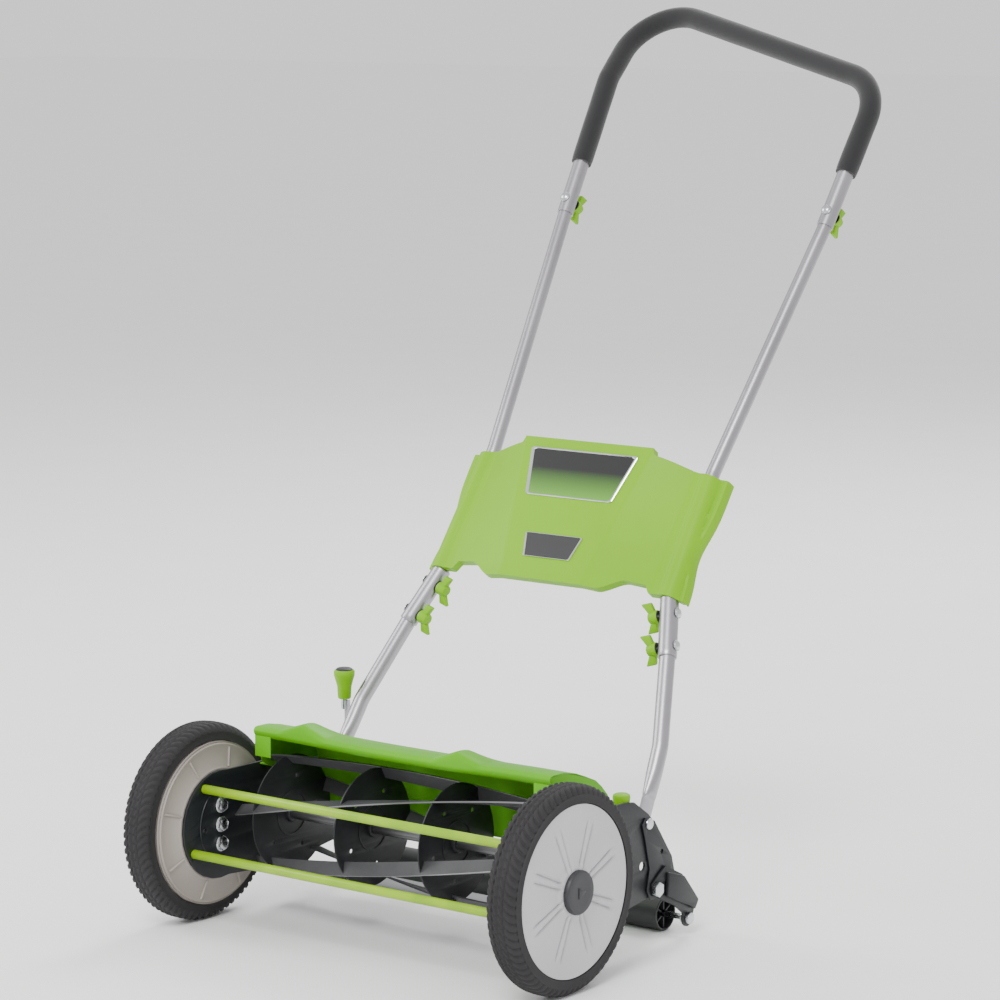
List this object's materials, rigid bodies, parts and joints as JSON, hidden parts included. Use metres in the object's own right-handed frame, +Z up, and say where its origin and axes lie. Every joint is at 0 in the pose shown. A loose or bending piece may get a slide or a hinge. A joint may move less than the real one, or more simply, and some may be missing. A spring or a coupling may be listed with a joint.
{
  "type": "reel mower",
  "caption": "Hand-pushed cylinder lawn mower with geared wheels, a helical reel, a sheet deck, a height-set roller and a swinging loop handle.",
  "frame": {"origin": "bottom centre of the bounding box, on the ground", "axes": "+Z up, X along the wheel axle with +X to the right of someone facing +Y, +Y towards the handle"},
  "size_m": [0.6336, 1.0248, 1.1462],
  "materials": {
    "tyre_rubber": "moulded ribbed tread, matt",
    "wheel_plastic": "moulded, matt warm grey",
    "cover_plastic": "moulded, satin light grey",
    "plate_paint": "powder coated, satin slate",
    "deck_paint": "powder coated, satin lime green",
    "rod_paint": "powder coated, satin yellow green",
    "lime_plastic": "moulded, semi-gloss lime green",
    "reel_paint": "dip painted, thin charcoal",
    "blade_steel": "rolled and ground",
    "zinc": "zinc plated, satin",
    "tube_steel": "brushed, satin grey",
    "hub_plastic": "moulded, fine-grained charcoal",
    "gear_plastic": "moulded, matt black",
    "grip_foam": "closed-cell foam, matt",
    "roller_plastic": "extruded, matt black"
  },
  "bodies": {
    "chassis": {"tie_rod_upper": "rod_paint", "tie_rod_lower": "rod_paint", "cutter_bar": "plate_paint", "bed_knife": "blade_steel", "deck_cover": "deck_paint", "side_plate_left": "plate_paint", "stub_axle_left": "zinc", "axle_bolts_left": "zinc", "gear_shield_left": "wheel_plastic", "reel_bush_left": "gear_plastic", "height_quadrant_left": "plate_paint", "handle_pivot_pin_left": "zinc", "side_plate_right": "plate_paint", "stub_axle_right": "zinc", "axle_bolts_right": "zinc", "gear_shield_right": "wheel_plastic", "reel_bush_right": "gear_plastic", "height_quadrant_right": "plate_paint", "handle_pivot_pin_right": "zinc"},
    "handle": {"handle_loop": "tube_steel", "grip_foam": "grip_foam", "handle_cover": "lime_plastic", "handle_tube_lower_left": "tube_steel", "handle_tube_middle_left": "tube_steel", "handle_bolt_left_lower_1": "zinc", "handle_bolt_left_lower_2": "zinc", "handle_bolt_left_upper": "zinc", "handle_tube_lower_right": "tube_steel", "handle_tube_middle_right": "tube_steel", "handle_bolt_right_lower_1": "zinc", "handle_bolt_right_lower_2": "zinc", "handle_bolt_right_upper": "zinc"},
    "reel": {"reel_shaft": "reel_paint", "reel_blade_1": "reel_paint", "reel_blade_2": "reel_paint", "reel_blade_3": "reel_paint", "reel_blade_4": "reel_paint", "reel_blade_5": "reel_paint", "drive_pinion_left": "gear_plastic", "drive_pinion_right": "gear_plastic"},
    "height_arm": {"roller_axle": "zinc", "height_lever": "zinc", "height_arm_left": "plate_paint", "height_arm_right": "plate_paint"},
    "roller": {"roller": "roller_plastic"},
    "adjust_knob": {"adjust_knob": "lime_plastic"},
    "wheel_left": {"wheel_left": "wheel_plastic", "tyre_left": "tyre_rubber", "wheel_cover_left": "cover_plastic", "hub_cap_left": "hub_plastic"},
    "wing_knob_left_lower_1": {"wing_knob_left_lower_1": "lime_plastic"},
    "wing_knob_left_lower_2": {"wing_knob_left_lower_2": "lime_plastic"},
    "wing_knob_left_upper": {"wing_knob_left_upper": "lime_plastic"},
    "wheel_right": {"wheel_right": "wheel_plastic", "tyre_right": "tyre_rubber", "wheel_cover_right": "cover_plastic", "hub_cap_right": "hub_plastic"},
    "wing_knob_right_lower_1": {"wing_knob_right_lower_1": "lime_plastic"},
    "wing_knob_right_lower_2": {"wing_knob_right_lower_2": "lime_plastic"},
    "wing_knob_right_upper": {"wing_knob_right_upper": "lime_plastic"}
  },
  "joints": [
    {"name": "wheel_left_spin", "type": "hinge", "parent": "chassis", "child": "wheel_left", "pos_m": [-0.28655, -0.38539, 0.127], "axis": [1, 0, 0], "continuous": true},
    {"name": "wheel_right_spin", "type": "hinge", "parent": "chassis", "child": "wheel_right", "pos_m": [0.28655, -0.38539, 0.127], "axis": [1, 0, 0], "continuous": true},
    {"name": "reel_spin", "type": "hinge", "parent": "chassis", "child": "reel", "pos_m": [0, -0.30569, 0.134], "axis": [1, 0, 0], "continuous": true},
    {"name": "handle_swing", "type": "hinge", "parent": "chassis", "child": "handle", "pos_m": [0, -0.16139, 0.158], "axis": [1, 0, 0], "range_deg": [0, 40]},
    {"name": "height_adjust", "type": "hinge", "parent": "chassis", "child": "height_arm", "pos_m": [0, -0.14999, 0.0735], "axis": [-1, 0, 0], "range_deg": [0, 20]},
    {"name": "roller_spin", "type": "hinge", "parent": "height_arm", "child": "roller", "pos_m": [0, -0.08039, 0.022], "axis": [1, 0, 0], "continuous": true},
    {"name": "adjust_knob_turn", "type": "hinge", "parent": "chassis", "child": "adjust_knob", "pos_m": [0.238, -0.19539, 0.2], "axis": [0, 0, 1], "continuous": true},
    {"name": "wing_knob_left_lower_1_turn", "type": "hinge", "parent": "handle", "child": "wing_knob_left_lower_1", "pos_m": [-0.20393, -0.04827, 0.35665], "axis": [0.9524, -0.1605, -0.2591], "continuous": true},
    {"name": "wing_knob_left_lower_2_turn", "type": "hinge", "parent": "handle", "child": "wing_knob_left_lower_2", "pos_m": [-0.19021, -0.0257, 0.39308], "axis": [0.9524, -0.1605, -0.2591], "continuous": true},
    {"name": "wing_knob_left_upper_turn", "type": "hinge", "parent": "handle", "child": "wing_knob_left_upper", "pos_m": [-0.2121, 0.30802, 0.8823], "axis": [0.0322, 0.8415, -0.5394], "continuous": true},
    {"name": "wing_knob_right_lower_1_turn", "type": "hinge", "parent": "handle", "child": "wing_knob_right_lower_1", "pos_m": [0.20393, -0.04827, 0.35665], "axis": [-0.9524, -0.1605, -0.2591], "continuous": true},
    {"name": "wing_knob_right_lower_2_turn", "type": "hinge", "parent": "handle", "child": "wing_knob_right_lower_2", "pos_m": [0.19021, -0.0257, 0.39308], "axis": [-0.9524, -0.1605, -0.2591], "continuous": true},
    {"name": "wing_knob_right_upper_turn", "type": "hinge", "parent": "handle", "child": "wing_knob_right_upper", "pos_m": [0.2121, 0.30802, 0.8823], "axis": [-0.0322, 0.8415, -0.5394], "continuous": true}
  ],
  "couplings": [
    {"joint": "wheel_right_spin", "follows": "wheel_left_spin", "ratio": 1},
    {"joint": "reel_spin", "follows": "wheel_left_spin", "ratio": 6.3333}
  ]
}
